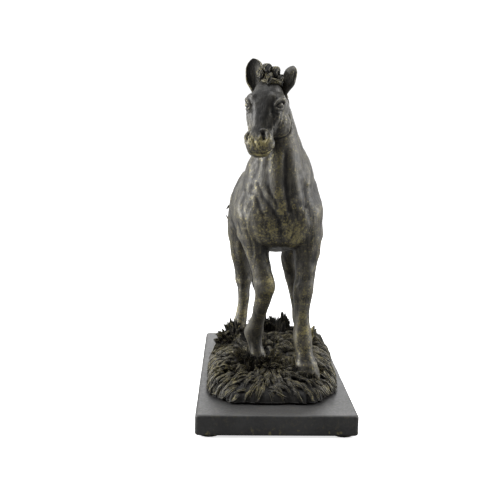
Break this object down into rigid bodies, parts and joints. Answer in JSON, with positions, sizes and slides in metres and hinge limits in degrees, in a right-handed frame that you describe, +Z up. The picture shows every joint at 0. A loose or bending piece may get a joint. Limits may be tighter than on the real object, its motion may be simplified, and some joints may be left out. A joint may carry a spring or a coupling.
{
  "type": "bronze horse statue",
  "caption": "Bronze figure of a standing, stepping horse on a mound of tall grass, bolted to a flat dark plinth that rests on felt pads.",
  "frame": {"origin": "middle of the underside, on the surface that the statue stands on", "axes": "+Z up; the horse faces -Y; its left side is +X; +Y is along the plinth's length towards the tail"},
  "size_m": [0.14, 0.3, 0.3269],
  "materials": {
    "bronze": "brown-black patina rubbed back to dull gold on the high places",
    "dark_bronze": "darker patina with gold on the tips",
    "plinth_stone": "matt charcoal, cast stone",
    "steel": "plain bright steel, out of sight",
    "felt": "black felt"
  },
  "bodies": {
    "root": {"torso": "bronze", "neck": "bronze", "head": "bronze", "ear_left": "bronze", "ear_right": "bronze", "foreleg_left": "bronze", "foreleg_right": "bronze", "hindleg_left": "bronze", "hindleg_right": "bronze", "forelock": "dark_bronze", "mane": "dark_bronze", "tail": "dark_bronze", "ground_mound": "dark_bronze", "grass_clump_rear": "dark_bronze", "grass_clump_rear_left": "dark_bronze", "grass_clump_right": "dark_bronze", "grass_clump_left": "dark_bronze", "grass_clump_front": "dark_bronze", "plinth": "plinth_stone", "felt_pad_front_left": "felt", "felt_pad_front_right": "felt", "felt_pad_rear_left": "felt", "felt_pad_rear_right": "felt", "leg_dowel_fore_left": "steel", "leg_dowel_fore_right": "steel", "leg_dowel_hind_left": "steel", "leg_dowel_hind_right": "steel", "neck_dowel_throat": "steel", "neck_dowel_crest": "steel", "head_dowel": "steel", "tail_screw": "steel", "hoof_stud_fore_left": "steel", "hoof_stud_fore_right": "steel", "hoof_stud_hind_left": "steel", "hoof_stud_hind_right": "steel", "hoof_nut_fore_left": "steel", "hoof_nut_fore_right": "steel", "hoof_nut_hind_left": "steel", "hoof_nut_hind_right": "steel", "hoof_washer_fore_left": "steel", "hoof_washer_fore_right": "steel", "hoof_washer_hind_left": "steel", "hoof_washer_hind_right": "steel", "plinth_bolt_front_left": "steel", "plinth_bolt_front_right": "steel", "plinth_bolt_rear_left": "steel", "plinth_bolt_rear_right": "steel", "plinth_washer_front_left": "steel", "plinth_washer_front_right": "steel", "plinth_washer_rear_left": "steel", "plinth_washer_rear_right": "steel"}
  },
  "joints": []
}
